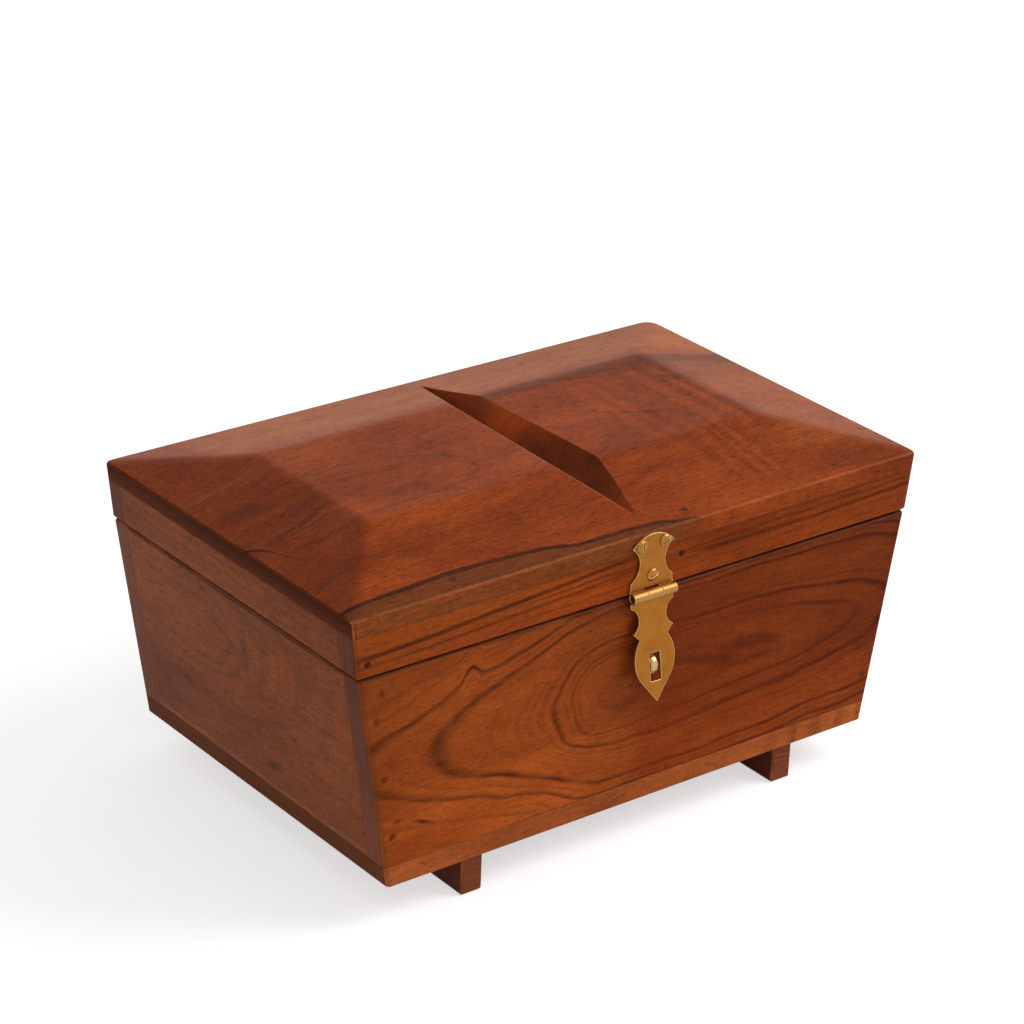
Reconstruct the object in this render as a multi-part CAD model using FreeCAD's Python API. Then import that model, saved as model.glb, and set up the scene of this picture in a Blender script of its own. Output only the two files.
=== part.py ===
import FreeCAD, Part
import math
import os

# A hardwood storage box with leaning ends, on two runners, with a carved lid and a brass hasp.
# Millimetres. X runs along the front to the right, Y from front to back, Z up from the floor.
# The origin is on the floor, under the middle of the box and its brass.

V = FreeCAD.Vector

# Boards of the body and the lid
LID_LENGTH = 305.0        # over the lid's ends, at its top edge
BOX_WIDTH = 186.0         # front face to back face
BODY_HEIGHT = 100.5       # underside of the bottom board to the rim
RAIL_HEIGHT = 19.0        # lid rails, below the top panel
PANEL_EDGE = 8.0          # top panel, where its edge shows above the rails
SEAM = 1.0                # open line between the body and the lid
BODY_LEAN = 9.3           # degrees that the body's ends lean out towards the rim
LID_LEAN = 7.1            # degrees that the lid's ends lean out
LID_LIP = 0.7             # step from the body's ends out to the lid's
WALL = 11.0               # boards and rails
BOTTOM_BOARD = 10.0
EDGE_EASE = 0.8           # sanded off along the outer edges
CORNER_FLAT = 1.4         # planed off the upright corners of the body
CORNER_ROUND = 2.0        # upright corners of the lid
BACK_CORNER = 8.0         # right back corner of the lid, sanded rounder than the others

# Carved top panel
CROWN_RISE = 10.8         # flat field above the lid's top edge
LEFT_BEVEL = 45.3         # field in from the left end
RIGHT_BEVEL = 48.5        # field in from the right end
FRONT_BEVEL = 54.6        # field in from the front
BACK_BEVEL = 50.8         # field in from the back
CROWN_SOFTNESS = 24.0     # radius where the slopes meet each other and the field
GROOVE_WIDTH = 20.0       # across the V-groove at the field, halfway along
GROOVE_FLOOR = 2.4        # bottom of the groove above the lid's top edge
GROOVE_FRONT_SHARES = (-0.46, 0.07, 0.80)     # left lip, bottom and right lip, of the groove's width
GROOVE_BACK_SHARES = (-0.21, 0.41, 0.50)      # the same at the back: the groove is cut by hand

# Foot runners
RUNNER_HEIGHT = 18.0
RUNNER_WIDTH = 11.0
RUNNER_SPACING = 173.5    # centre to centre
RUNNER_SETBACK = 2.0      # ends behind the front and back faces

# Wooden pegs
PEG_DIAMETER = 3.0
PEG_SIDES = 8             # whittled pegs, and the shanks that stand for a screw's thread
PEG_BITE = 14.0           # into the second piece
PEG_COVER = 3.0           # wood left over the end of a runner's peg
PEG_RECESS = 0.5          # a runner's peg, up from its underside
PEG_FIT = 0.05            # radial room in the hole
PLUG_DEPTH = 6.0          # plug that fills a hole beside the hasp
PLUG_OFFSET = 16.8        # from the middle of the hasp
TOP_PEG_INSET = 7.6       # front and back rows of the top panel's pegs, in from the faces
WALL_PEG_SHARES = (0.24, 0.52, 0.80)          # of the body's height
RAIL_PEG_SHARE = 0.32                         # of a lid rail's height
PLUG_SHARE = 0.66                             # of a lid rail's height
BOTTOM_SIDE_PEG_SHARES = (-0.42, 0.0, 0.42)   # of the body's half length
BOTTOM_END_PEG_SHARES = (-0.45, 0.45)         # of the half width
RUNNER_PEG_SHARES = (-0.6, 0.6)               # of the half width
TOP_FRONT_PEG_SHARES = (-0.64, 0.16, 0.72)    # of the lid's half length
TOP_BACK_PEG_SHARES = (-0.82, -0.24, 0.82)    # of the lid's half length
TOP_END_PEG_SHARES = (-0.68, 0.62)            # of the half width

# Butt hinges at the back
HINGE_LENGTH = 38.0
HINGE_WIDTH = 8.5         # pin to the leaf's inner edge
HINGE_SHEET = 1.2
HINGE_BARREL = 5.0        # outside diameter of the knuckles
HINGE_PIN = 2.5
HINGE_INSET = 0.9         # pin in from the back face, so the lid stops just past upright
LEAF_GAP = 0.3            # between the closed leaves
HINGE_PLACE_SHARE = 0.59  # of the lid's half length
HINGE_SCREW_SHARES = (-0.3, 0.3)              # of the hinge's length
HINGE_SCREW_HEAD = 4.2
HINGE_SCREW_SHANK = 2.4
HINGE_SCREW_LENGTH = 10.0

# Knuckles and pins of the hinges and the hasp
KNUCKLES = 3
KNUCKLE_GAP = 0.25        # between neighbouring knuckles
BARREL_ROOM = 0.4         # round a turning barrel
PIN_FIT = 0.05            # radial running room

# Hasp
HASP_PLACE = 1.0          # middle of the hasp to the right of the box's middle
HASP_SHEET = 1.2
HASP_BARREL = 4.8
HASP_BARREL_LENGTH = 23.4
HASP_PIN = 3.0
HASP_PIN_RECESS = 2.8     # pin's ends inside the barrel
HASP_STANDOFF = 0.3       # barrel off the front face
PLATE_WIDTH = 22.6
PLATE_HEIGHT = 27.2       # pin to the rounded top
PLATE_SHOULDER_SHARE = 0.23                   # of the plate's height
PLATE_NECK_SHARES = (0.61, 0.513)             # of the half width and of the height
PLATE_CORNER_SHARES = (0.99, 0.813)
FLAP_WIDTH = 22.9
FLAP_LENGTH = 49.0        # pin to the tip
FLAP_TILT = 9.0           # degrees that the flap hangs away from the front
FLAP_SHOULDER_SHARE = 0.10                    # of the flap's length
FLAP_NECK_SHARES = (0.646, 0.221)             # of the half width and of the length
FLAP_SPUR_SHARES = (0.943, 0.336)
FLAP_NOTCH_SHARES = (0.655, 0.403)
FLAP_BELLY_SHARES = (0.943, 0.58)
FLAP_TAPER_SHARES = (0.72, 0.78)
SLOT_WIDTH = 5.7
SLOT_LENGTH = 12.7
SLOT_TOP_SHARE = 0.549                        # of the flap's length
HASP_SCREW_HEAD = 6.0
HASP_SCREW_DOME = 1.3
HASP_SCREW_FLAT_SHARES = ((1.0, 0.25), (0.86, 0.65), (0.5, 1.0))  # of the head and of the dome
HASP_SCREW_SHANK = 2.8
HASP_SCREW_LENGTH = 9.0
HASP_SCREW_SHARES = ((-0.54, 0.824), (0.57, 0.824), (0.03, 0.293))  # of the half width and the height
HASP_SCREW_TURNS = (82.0, 38.0, 10.0)         # degrees of each slot
HEAD_SIDES = 12           # flats round a screw's head
DRIVER_SLOT = 0.8         # slots of the screws
DRIVER_SLOT_DEPTH = 0.6

# Staple
STAPLE_WIRE = 2.6         # flattened wire, through its thickness
STAPLE_WIDTH = 4.4        # and across it
WIRE_SIDES = 8            # flats round the wire
STAPLE_SPREAD = 7.0       # leg to leg
STAPLE_REACH = 7.2        # out of the front board
STAPLE_COVER = 2.0        # wood left behind the legs

OVERRUN = 2.0             # cutting tools past the faces they cut

# Levels
BODY_FLOOR = RUNNER_HEIGHT
WALL_FOOT = BODY_FLOOR + BOTTOM_BOARD
RIM = BODY_FLOOR + BODY_HEIGHT
LID_FOOT = RIM + SEAM
PANEL_FOOT = LID_FOOT + RAIL_HEIGHT
TOP_EDGE = PANEL_FOOT + PANEL_EDGE
FIELD = TOP_EDGE + CROWN_RISE
PIN_LEVEL = RIM + SEAM / 2

# Places from front to back: the flap's tip and the hinge barrels reach equally far from the origin
TILT = math.radians(FLAP_TILT)
FLAP_REACH = (HASP_BARREL / 2 + HASP_STANDOFF + FLAP_LENGTH * math.sin(TILT)
              - (HASP_BARREL / 2 - HASP_SHEET) * math.cos(TILT))
BARREL_REACH = HINGE_BARREL / 2 - HINGE_INSET
FRONT = (FLAP_REACH - BOX_WIDTH - BARREL_REACH) / 2
BACK = FRONT + BOX_WIDTH
MIDDLE = (FRONT + BACK) / 2
HASP_PIN_Y = FRONT - HASP_STANDOFF - HASP_BARREL / 2
HINGE_PIN_Y = BACK - HINGE_INSET

SIDES = (("left", -1), ("right", 1))


def lid_half(level):
    """Half the lid's length at a level."""
    return LID_LENGTH / 2 - (TOP_EDGE - level) * math.tan(math.radians(LID_LEAN))


def body_half(level):
    """Half the body's length at a level."""
    return lid_half(LID_FOOT) - LID_LIP - (RIM - level) * math.tan(math.radians(BODY_LEAN))


def outline(points):
    return Part.makePolygon(points + points[:1])


def prism(points, push):
    """A closed outline of points, pushed into a solid."""
    return Part.Face(outline(points)).extrude(push)


def ring(diameter, centre, way, sides):
    """Corners of a regular outline square to a direction."""
    turn = FreeCAD.Rotation(V(0, 0, 1), way)
    spokes = [math.tau * (index + 0.5) / sides for index in range(sides)]
    return [centre + turn.multVec(V(math.cos(a), math.sin(a), 0)) * (diameter / 2) for a in spokes]


def stick(diameter, start, end):
    """A whittled stick with flat sides."""
    return prism(ring(diameter, start, end - start, PEG_SIDES), end - start)


def between(foot, head):
    """A solid with flat sides between two outlines."""
    pairs = list(zip(foot, head))
    sides = [[a, b, d, c] for (a, c), (b, d) in zip(pairs, pairs[1:] + pairs[:1])]
    faces = [Part.Face(outline(points)) for points in sides + [foot, head]]
    solid = Part.makeSolid(Part.makeShell(faces))
    return solid if solid.Volume > 0 else solid.reversed()


def block(low, high):
    size = high - low
    return Part.makeBox(size.x, size.y, size.z, low)


def rod(diameter, start, end):
    return Part.makeCylinder(diameter / 2, (end - start).Length, start, end - start)


def joined(shapes):
    return shapes[0].fuse(shapes[1:]).removeSplitter()


def drilled(shape, tools):
    return shape.cut(Part.makeCompound(tools))


def rounded(shape, radius, chosen):
    """A shape with the edges rounded whose bounding box is chosen."""
    return shape.makeFillet(radius, [edge for edge in shape.Edges if chosen(edge.BoundBox)])


def eased(shape, chosen):
    """A shape with the chosen edges sanded off."""
    return shape.makeChamfer(EDGE_EASE, [edge for edge in shape.Edges if chosen(edge.BoundBox)])


def upright(b):
    """Whether an edge's bounding box is that of an upright corner."""
    return b.ZLength > CORNER_ROUND


def leaning_block(half, foot, top):
    """Block of the box's whole width whose ends lean out from foot to top."""
    corners = [V(side * half(level), FRONT, level)
               for side, level in ((-1, foot), (1, foot), (1, top), (-1, top))]
    return prism(corners, V(0, BOX_WIDTH, 0))


def body_outside():
    """The body as one sanded block, which the boards are taken from."""
    blank = leaning_block(body_half, BODY_FLOOR, RIM)
    blank = blank.makeChamfer(CORNER_FLAT, [edge for edge in blank.Edges if upright(edge.BoundBox)])
    return eased(blank, lambda b: not upright(b))


def crown():
    """Hipped top from the lid's top edge up to the field."""
    foot = lid_half(TOP_EDGE)
    left, right = LEFT_BEVEL - foot, foot - RIGHT_BEVEL
    near, far = FRONT + FRONT_BEVEL, BACK - BACK_BEVEL
    edge = [V(-foot, FRONT, TOP_EDGE), V(foot, FRONT, TOP_EDGE),
            V(foot, BACK, TOP_EDGE), V(-foot, BACK, TOP_EDGE)]
    field = [V(left, near, FIELD), V(right, near, FIELD), V(right, far, FIELD), V(left, far, FIELD)]
    return between(edge, field)


def groove_tool():
    """V-shaped cutter from front to back across the field, wider at the front."""
    rise = CROWN_RISE - GROOVE_FLOOR
    grow = (rise + OVERRUN) / rise
    sections = []
    for y, (left, bottom, right) in ((FRONT, GROOVE_FRONT_SHARES), (BACK, GROOVE_BACK_SHARES)):
        corners = [V(GROOVE_WIDTH * bottom, y, FIELD - rise),
                   V(GROOVE_WIDTH * (bottom + (right - bottom) * grow), y, FIELD + OVERRUN),
                   V(GROOVE_WIDTH * (bottom + (left - bottom) * grow), y, FIELD + OVERRUN)]
        sections.append(outline(corners))
    return Part.makeLoft(sections, True, True)


def with_round_corners(lid):
    """The lid's block with its upright corners sanded round, the right back one the most."""
    def corner(b):
        return upright(b) and b.ZMin < LID_FOOT + EDGE_EASE

    def right_back(b):
        return b.YMin > BACK - EDGE_EASE and b.XMin > 0

    lid = rounded(lid, BACK_CORNER, lambda b: corner(b) and right_back(b))
    return rounded(lid, CORNER_ROUND, lambda b: corner(b) and not (b.YMax > BACK - BACK_CORNER - EDGE_EASE and b.XMin > 0))


def frame_outside():
    """The lid below its crown as one sanded block, which the rails are taken from."""
    frame = with_round_corners(leaning_block(lid_half, LID_FOOT, TOP_EDGE))
    return eased(frame, lambda b: b.ZMax < LID_FOOT + EDGE_EASE)


def lid_outside():
    """The whole lid as one sanded block: leaning ends, hipped crown, and the groove across it."""
    lid = joined([leaning_block(lid_half, LID_FOOT, TOP_EDGE), crown()])
    lid = rounded(lid, CROWN_SOFTNESS, lambda b: b.ZMax > FIELD - EDGE_EASE)
    lid = with_round_corners(lid)
    lid = eased(lid, lambda b: b.ZMax < TOP_EDGE + EDGE_EASE and not upright(b))
    return lid.cut(groove_tool())


def long_board(outside, front_face, foot, top):
    """Front or back board or rail: the block's outer layer over its whole length."""
    near = front_face if front_face == FRONT else front_face - WALL
    return outside.common(block(V(-LID_LENGTH, near, foot), V(LID_LENGTH, near + WALL, top)))


def end_board(outside, side, half, lean, foot, top):
    """End board or rail between the two long ones, leaning with the end face."""
    thick = WALL / math.cos(math.radians(lean))
    corners = [V(side * (half(level) + step), FRONT + WALL, level)
               for step, level in ((-thick, foot), (OVERRUN, foot), (OVERRUN, top), (-thick, top))]
    return outside.common(prism(corners, V(0, BOX_WIDTH - WALL - WALL, 0)))


def layer(outside, foot, top):
    """Bottom board or top panel: all of the block between two levels."""
    return outside.common(block(V(-LID_LENGTH, FRONT, foot), V(LID_LENGTH, BACK, top)))


def end_middle(half, lean, level):
    """Distance from the middle of the box to the middle of an end board's thickness."""
    return half(level) - WALL / 2 / math.cos(math.radians(lean))


class Pegs:
    """Like pegs of one joint: solids cut flush with the outside, and their holes."""

    def __init__(self, outside):
        self.outside = outside
        self.solids = []
        self.holes = []

    def add(self, inner, outer):
        way = (outer - inner).normalize()
        self.solids.append(stick(PEG_DIAMETER, inner, outer).common(self.outside))
        self.holes.append(stick(PEG_DIAMETER + PEG_FIT + PEG_FIT, inner - way * PEG_FIT, outer))

    def node(self):
        return Part.makeCompound([s.Solids[0] for s in self.solids])


def corner_pegs(outside, face, inward, half, lean, levels):
    """Pegs along Y through a long board into the ends of the end boards."""
    pegs = Pegs(outside)
    for level in levels:
        for _, side in SIDES:
            x = side * end_middle(half, lean, level)
            pegs.add(V(x, face + inward * (WALL + PEG_BITE), level), V(x, face - inward * OVERRUN, level))
    return pegs


def bottom_pegs(outside):
    """Pegs up through the bottom board into the walls; those of the ends follow their lean."""
    pegs = Pegs(outside)
    top = WALL_FOOT + PEG_BITE
    below = BODY_FLOOR - OVERRUN
    for share in BOTTOM_SIDE_PEG_SHARES:
        x = share * body_half(BODY_FLOOR)
        for y in (FRONT + WALL / 2, BACK - WALL / 2):
            pegs.add(V(x, y, top), V(x, y, below))
    for share in BOTTOM_END_PEG_SHARES:
        y = MIDDLE + share * BOX_WIDTH / 2
        for _, side in SIDES:
            pegs.add(V(side * end_middle(body_half, BODY_LEAN, top), y, top),
                     V(side * end_middle(body_half, BODY_LEAN, below), y, below))
    return pegs


def top_pegs(outside):
    """Pegs down through the top panel into the rails."""
    pegs = Pegs(outside)
    low = PANEL_FOOT - PEG_BITE
    high = FIELD + OVERRUN
    rows = ((TOP_FRONT_PEG_SHARES, FRONT + TOP_PEG_INSET), (TOP_BACK_PEG_SHARES, BACK - TOP_PEG_INSET))
    for shares, y in rows:
        for share in shares:
            x = share * LID_LENGTH / 2
            pegs.add(V(x, y, low), V(x, y, high))
    for share in TOP_END_PEG_SHARES:
        y = MIDDLE + share * BOX_WIDTH / 2
        for _, side in SIDES:
            x = side * end_middle(lid_half, LID_LEAN, PANEL_FOOT)
            pegs.add(V(x, y, low), V(x, y, high))
    return pegs


def runner(side):
    """Foot runner from front to back, its lower and end edges eased."""
    x = side * RUNNER_SPACING / 2
    bar = block(V(x - RUNNER_WIDTH / 2, FRONT + RUNNER_SETBACK, 0),
                V(x + RUNNER_WIDTH / 2, BACK - RUNNER_SETBACK, BODY_FLOOR))
    return eased(bar, lambda b: b.ZMin < EDGE_EASE)


def runner_pegs():
    """Pegs up through the runners into the bottom board."""
    pegs = Pegs(block(V(-LID_LENGTH, FRONT, 0), V(LID_LENGTH, BACK, RIM)))
    for _, side in SIDES:
        x = side * RUNNER_SPACING / 2
        for share in RUNNER_PEG_SHARES:
            y = MIDDLE + share * BOX_WIDTH / 2
            pegs.add(V(x, y, WALL_FOOT - PEG_COVER), V(x, y, PEG_RECESS))
            pegs.holes.append(stick(PEG_DIAMETER + PEG_FIT + PEG_FIT, V(x, y, -OVERRUN), V(x, y, PEG_COVER)))
    return pegs


def knuckle_span(length, index):
    """Start and end of one knuckle along a barrel that is centred on zero."""
    step = length / KNUCKLES
    start = index * step - length / 2
    return start + KNUCKLE_GAP / 2, start + step - KNUCKLE_GAP / 2


def hinge_screw(x, up):
    """Countersunk screw of a hinge leaf, flush with the leaf, and its hole in leaf and wood."""
    y = HINGE_PIN_Y - (HINGE_WIDTH + HINGE_BARREL / 2 + BARREL_ROOM) / 2
    face = PIN_LEVEL + up * LEAF_GAP / 2
    under = face + up * HINGE_SHEET
    tip = face + up * HINGE_SCREW_LENGTH

    def shape(fit):
        way = V(0, 0, up)
        head = between(ring(HINGE_SCREW_HEAD + fit + fit, V(x, y, face), way, HEAD_SIDES),
                       ring(HINGE_SCREW_SHANK + fit + fit, V(x, y, under), way, HEAD_SIDES))
        shank = stick(HINGE_SCREW_SHANK + fit + fit, V(x, y, face), V(x, y, tip + up * fit))
        return joined([head, shank])

    slot = block(V(x - HINGE_SCREW_HEAD, y - DRIVER_SLOT / 2, face - DRIVER_SLOT_DEPTH),
                 V(x + HINGE_SCREW_HEAD, y + DRIVER_SLOT / 2, face + DRIVER_SLOT_DEPTH))
    return shape(0).cut(slot), shape(PEG_FIT)


def hinge_rod(diameter, start, stop):
    """Rod on the line of the hinge pins."""
    return rod(diameter, V(start, HINGE_PIN_Y, PIN_LEVEL), V(stop, HINGE_PIN_Y, PIN_LEVEL))


def hinge_leaf(x, up, indexes, screw_holes):
    """One leaf of a butt hinge, with the knuckles of the given indexes rolled round the pin."""
    near = PIN_LEVEL + up * LEAF_GAP / 2
    low, high = sorted((near, near + up * HINGE_SHEET))
    start, stop = x - HINGE_LENGTH / 2, x + HINGE_LENGTH / 2
    edge = HINGE_PIN_Y - HINGE_BARREL / 2 - BARREL_ROOM
    pieces = [block(V(start, HINGE_PIN_Y - HINGE_WIDTH, low), V(stop, edge, high))]
    for index in indexes:
        first, last = knuckle_span(HINGE_LENGTH, index)
        pieces.append(block(V(x + first, edge, low), V(x + last, HINGE_PIN_Y, high)))
        pieces.append(hinge_rod(HINGE_BARREL, x + first, x + last))
    bore = hinge_rod(HINGE_PIN + PIN_FIT + PIN_FIT, start, stop)
    return drilled(joined(pieces).cut(bore), screw_holes)


def hinge_beds(x):
    """Wood taken away for one hinge: a bed for the closed leaves and a hollow for the barrel."""
    start, stop = x - HINGE_LENGTH / 2, x + HINGE_LENGTH / 2
    reach = LEAF_GAP / 2 + HINGE_SHEET
    bed = block(V(start, HINGE_PIN_Y - HINGE_WIDTH, PIN_LEVEL - reach),
                V(stop, BACK + OVERRUN, PIN_LEVEL + reach))
    hollow = hinge_rod(HINGE_BARREL + BARREL_ROOM + BARREL_ROOM, start - BARREL_ROOM, stop + BARREL_ROOM)
    return [bed, hollow]


def hasp_rod(diameter, start, stop):
    """Rod on the line of the hasp's pin, between two distances from the hasp's middle."""
    return rod(diameter, V(HASP_PLACE + start, HASP_PIN_Y, PIN_LEVEL),
               V(HASP_PLACE + stop, HASP_PIN_Y, PIN_LEVEL))


def hasp_leaf(half_face, thickness_from, thickness_to, down, indexes):
    """Sheet brass leaf of the hasp: half an outline mirrored, with knuckles rolled round the pin."""
    half_sheet = half_face.extrude(V(0, thickness_to - thickness_from, 0))
    sheet = joined([half_sheet, half_sheet.mirror(V(HASP_PLACE, 0, 0), V(1, 0, 0))])
    edge = HASP_BARREL / 2 + BARREL_ROOM
    pieces = [sheet]
    for index in indexes:
        first, last = knuckle_span(HASP_BARREL_LENGTH, index)
        low, high = sorted((PIN_LEVEL, PIN_LEVEL - down * edge))
        pieces.append(block(V(HASP_PLACE + first, thickness_from, low),
                            V(HASP_PLACE + last, thickness_to, high)))
        pieces.append(hasp_rod(HASP_BARREL, first, last))
    end = HASP_BARREL_LENGTH / 2
    return joined(pieces).cut(hasp_rod(HASP_PIN + PIN_FIT + PIN_FIT, -end, end))


def line(start, end):
    return Part.LineSegment(start, end).toShape()


def arc(start, through, end):
    return Part.Arc(start, through, end).toShape()


def hasp_plate(screw_holes):
    """Upper leaf, screwed to the lid: straight shoulders, a waist, and a rounded top."""
    back = FRONT
    front = FRONT - HASP_SHEET

    def at(width_share, height_share):
        return V(HASP_PLACE + width_share * PLATE_WIDTH / 2, front,
                 PIN_LEVEL + height_share * PLATE_HEIGHT)

    foot_share = (HASP_BARREL / 2 + BARREL_ROOM) / PLATE_HEIGHT
    foot, foot_corner, shoulder = at(0, foot_share), at(1, foot_share), at(1, PLATE_SHOULDER_SHARE)
    neck, corner, top = at(*PLATE_NECK_SHARES), at(*PLATE_CORNER_SHARES), at(0, 1)
    width_share, height_share = PLATE_CORNER_SHARES
    whole_top = arc(at(-width_share, height_share), top, corner)
    top_middle = whole_top.valueAt((whole_top.FirstParameter + 3 * whole_top.LastParameter) / 4)
    edges = [line(foot, foot_corner),
             line(foot_corner, shoulder),
             arc(shoulder, neck, corner),
             arc(corner, top_middle, top),
             line(top, foot)]
    outer_knuckles = (0, KNUCKLES - 1)
    leaf = hasp_leaf(Part.Face(Part.Wire(edges)), front, back, -1, outer_knuckles)
    return drilled(leaf, screw_holes)


def hasp_flap():
    """Lower leaf with its slot: scooped neck, two spurs, and an almond belly that ends in a point."""
    back = HASP_PIN_Y + HASP_BARREL / 2
    front = back - HASP_SHEET

    def at(width_share, length_share):
        return V(HASP_PLACE + width_share * FLAP_WIDTH / 2, front,
                 PIN_LEVEL - length_share * FLAP_LENGTH)

    top_share = (HASP_BARREL / 2 + BARREL_ROOM) / FLAP_LENGTH
    top, top_corner, shoulder = at(0, top_share), at(1, top_share), at(1, FLAP_SHOULDER_SHARE)
    neck, spur, notch = at(*FLAP_NECK_SHARES), at(*FLAP_SPUR_SHARES), at(*FLAP_NOTCH_SHARES)
    belly, taper, tip = at(*FLAP_BELLY_SHARES), at(*FLAP_TAPER_SHARES), at(0, 1)
    edges = [line(top, top_corner),
             line(top_corner, shoulder),
             arc(shoulder, neck, spur),
             line(spur, notch),
             arc(notch, belly, taper),
             line(taper, tip),
             line(tip, top)]
    middle_knuckle = (KNUCKLES // 2,)
    leaf = hasp_leaf(Part.Face(Part.Wire(edges)), front, back, 1, middle_knuckle)
    slot_top = PIN_LEVEL - SLOT_TOP_SHARE * FLAP_LENGTH
    slot = block(V(HASP_PLACE - SLOT_WIDTH / 2, front - OVERRUN, slot_top - SLOT_LENGTH),
                 V(HASP_PLACE + SLOT_WIDTH / 2, back + OVERRUN, slot_top))
    flap = leaf.cut(slot)
    flap.rotate(V(0, HASP_PIN_Y, PIN_LEVEL), V(-1, 0, 0), FLAP_TILT)
    return flap


def hasp_screw(width_share, height_share, turn):
    """Round-headed slotted screw of the hasp plate, and its hole in plate and wood."""
    x = HASP_PLACE + width_share * PLATE_WIDTH / 2
    z = PIN_LEVEL + height_share * PLATE_HEIGHT
    seat = V(x, FRONT - HASP_SHEET, z)
    out = V(0, -1, 0)
    steps = [ring(HASP_SCREW_HEAD, seat, out, HEAD_SIDES)]
    for head_share, dome_share in HASP_SCREW_FLAT_SHARES:
        centre = seat + out * (dome_share * HASP_SCREW_DOME)
        steps.append(ring(head_share * HASP_SCREW_HEAD, centre, out, HEAD_SIDES))
    layers = [between(low, high) for low, high in zip(steps, steps[1:])]
    face = seat.y - HASP_SCREW_DOME
    slot = block(V(x - HASP_SCREW_HEAD, face - OVERRUN, z - DRIVER_SLOT / 2),
                 V(x + HASP_SCREW_HEAD, face + DRIVER_SLOT_DEPTH, z + DRIVER_SLOT / 2))
    slot.rotate(seat, V(0, 1, 0), -turn)
    tip = V(x, FRONT + HASP_SCREW_LENGTH, z)
    screw = joined(layers + [stick(HASP_SCREW_SHANK, seat, tip)]).cut(slot)
    hole = stick(HASP_SCREW_SHANK + PEG_FIT + PEG_FIT, seat + out * OVERRUN, tip - out * PEG_FIT)
    return screw, hole


def staple():
    """Wire loop that stands out through the flap's slot, and the holes of its two legs."""
    level = PIN_LEVEL - SLOT_TOP_SHARE * FLAP_LENGTH - SLOT_LENGTH / 2
    bend = FRONT - STAPLE_REACH + STAPLE_WIRE / 2 + STAPLE_SPREAD / 2
    inner = FRONT + WALL - STAPLE_COVER
    centre = V(HASP_PLACE, bend, level)
    inward = V(0, 1, 0)

    def section(room, y, z):
        """Flattened round outline of the wire, or of a hole with room all round it."""
        corners = ring(STAPLE_WIRE + room + room, V(HASP_PLACE, y, z), inward, WIRE_SIDES)
        flatten = (STAPLE_WIDTH + room + room) / (STAPLE_WIRE + room + room)
        return [V(HASP_PLACE + (c.x - HASP_PLACE) * flatten, c.y, c.z) for c in corners]

    wire_end = Part.Face(outline(section(0, bend, level + STAPLE_SPREAD / 2)))
    pieces = [wire_end.revolve(centre, V(1, 0, 0), 180)]
    holes = []
    for side in (-1, 1):
        z = level + side * STAPLE_SPREAD / 2
        pieces.append(prism(section(0, bend, z), inward * (inner - bend)))
        hole = section(PEG_FIT, FRONT - OVERRUN, z)
        holes.append(prism(hole, inward * (inner + PEG_FIT - FRONT + OVERRUN)))
    return joined(pieces), holes


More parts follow.
